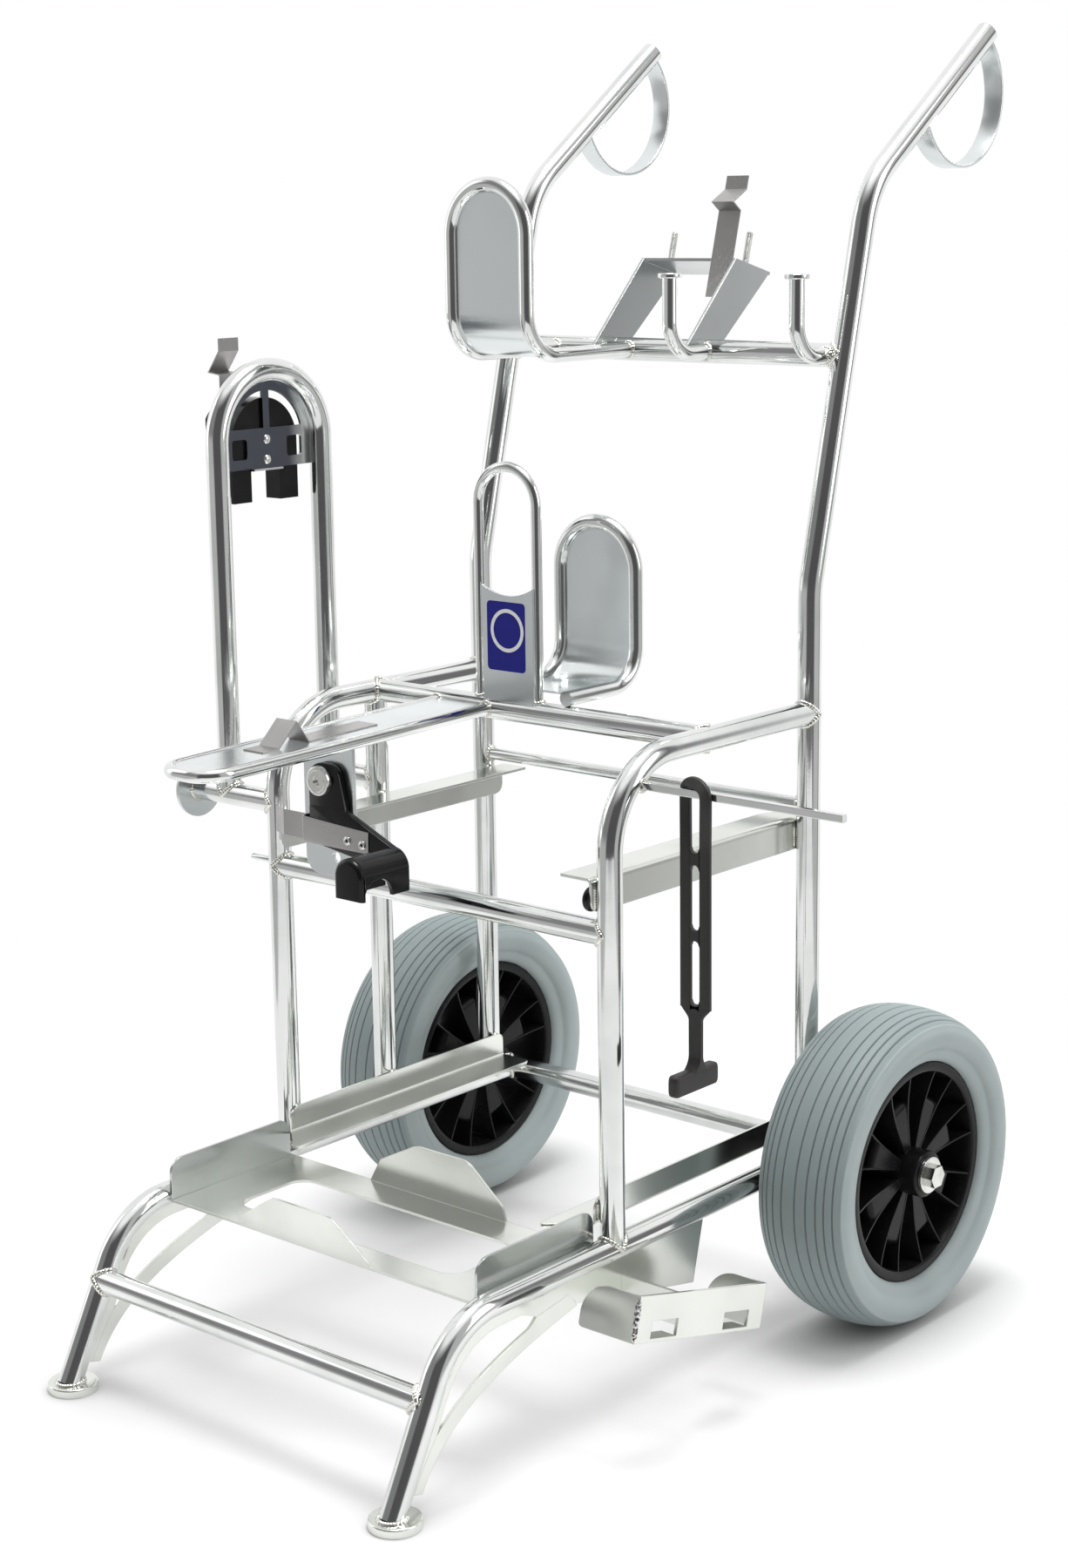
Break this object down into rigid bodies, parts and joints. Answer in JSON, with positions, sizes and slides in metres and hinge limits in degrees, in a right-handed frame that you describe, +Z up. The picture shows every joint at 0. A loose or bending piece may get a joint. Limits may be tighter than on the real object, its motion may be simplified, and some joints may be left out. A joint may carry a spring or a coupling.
{
  "type": "equipment transport trolley",
  "caption": "Two-wheeled upright trolley of bent plated tube with shelf and cradle rails, front tray, cable rests, swinging hose hook, side hoop, strap and angled handles.",
  "frame": {"origin": "middle of the bounding box on the floor, under the wheels and feet", "axes": "+Z up, +X to the right seen from the front feet, +Y from the feet to the wheels and handles"},
  "size_m": [0.7481, 0.8784, 1.1894],
  "materials": {
    "zinc_tube": "bright zinc plate on drawn tube, mirror-like",
    "zinc_sheet": "satin zinc plate on bent sheet",
    "spring_steel": "fine brushed stainless strip",
    "fastener_steel": "zinc-plated fastener",
    "black_plastic": "semi-matte black moulded plastic",
    "charcoal_plastic": "semi-matte charcoal sheet plastic",
    "rim_plastic": "glossy black moulded plastic",
    "tyre_rubber": "blue-grey solid tyre rubber",
    "strap_rubber": "matte brown-black rubber"
  },
  "bodies": {
    "frame": {"left_side_rail": "zinc_tube", "right_side_rail": "zinc_tube", "left_front_post": "zinc_tube", "right_front_post": "zinc_tube", "left_handle_tube": "zinc_tube", "right_handle_tube": "zinc_tube", "front_foot_bar": "zinc_tube", "top_cross_tube": "zinc_tube", "mid_cross_tube": "zinc_tube", "rear_cross_rod": "zinc_tube", "upper_cross_tube": "zinc_tube", "axle_tube": "zinc_tube", "left_mid_post": "zinc_tube", "hoop_tube": "zinc_tube", "front_stub": "zinc_tube", "rear_stub": "zinc_tube", "rear_rest_tube": "zinc_tube", "upper_rest_tube": "zinc_tube", "tongue_tube": "zinc_tube", "lifting_loop": "zinc_tube", "j_hooks": "zinc_tube", "strap_bar": "zinc_tube", "left_leg_gusset": "zinc_sheet", "right_leg_gusset": "zinc_sheet", "left_hand_guard": "zinc_sheet", "right_hand_guard": "zinc_sheet", "left_shelf_rail": "zinc_sheet", "right_shelf_rail": "zinc_sheet", "left_cradle_rail": "zinc_sheet", "right_cradle_rail": "zinc_sheet", "front_tray": "zinc_sheet", "lifting_plate": "zinc_sheet", "rear_rest_sheet": "zinc_sheet", "upper_rest_sheet": "zinc_sheet", "tongue_sheet": "zinc_sheet", "hook_bracket": "zinc_sheet", "stub_disc": "zinc_sheet", "upper_bracket": "zinc_sheet", "holder_plate": "zinc_sheet", "holder_web": "zinc_sheet", "cable_holder": "zinc_sheet", "foot_discs": "zinc_sheet", "tongue_spring": "spring_steel", "hoop_clip": "spring_steel", "upper_clip": "spring_steel", "hook_pivot_bolt": "fastener_steel", "upper_studs": "fastener_steel", "axle_fasteners": "fastener_steel", "axle_rod": "fastener_steel", "j_hook_caps": "fastener_steel", "hoop_saddle": "black_plastic", "handle_plugs": "black_plastic", "hoop_plate": "charcoal_plastic"},
    "left_wheel": {"left_tyre": "tyre_rubber", "left_rim": "rim_plastic"},
    "right_wheel": {"right_tyre": "tyre_rubber", "right_rim": "rim_plastic"},
    "hook": {"swing_hook": "black_plastic", "hook_leaf_spring": "spring_steel"},
    "strap": {"rubber_strap": "strap_rubber"}
  },
  "joints": [
    {"name": "left_wheel_spin", "type": "hinge", "parent": "frame", "child": "left_wheel", "pos_m": [-0.308, 0.17775, 0.15], "axis": [1, 0, 0], "continuous": true},
    {"name": "right_wheel_spin", "type": "hinge", "parent": "frame", "child": "right_wheel", "pos_m": [0.228, 0.17775, 0.15], "axis": [1, 0, 0], "continuous": true},
    {"name": "hook_swing", "type": "hinge", "parent": "frame", "child": "hook", "pos_m": [-0.1215, -0.19625, 0.5355], "axis": [0, 1, 0], "range_deg": [0, 70]},
    {"name": "strap_swing", "type": "hinge", "parent": "frame", "child": "strap", "pos_m": [0.226, -0.10925, 0.554], "axis": [1, 0, 0], "range_deg": [-60, 60]}
  ]
}
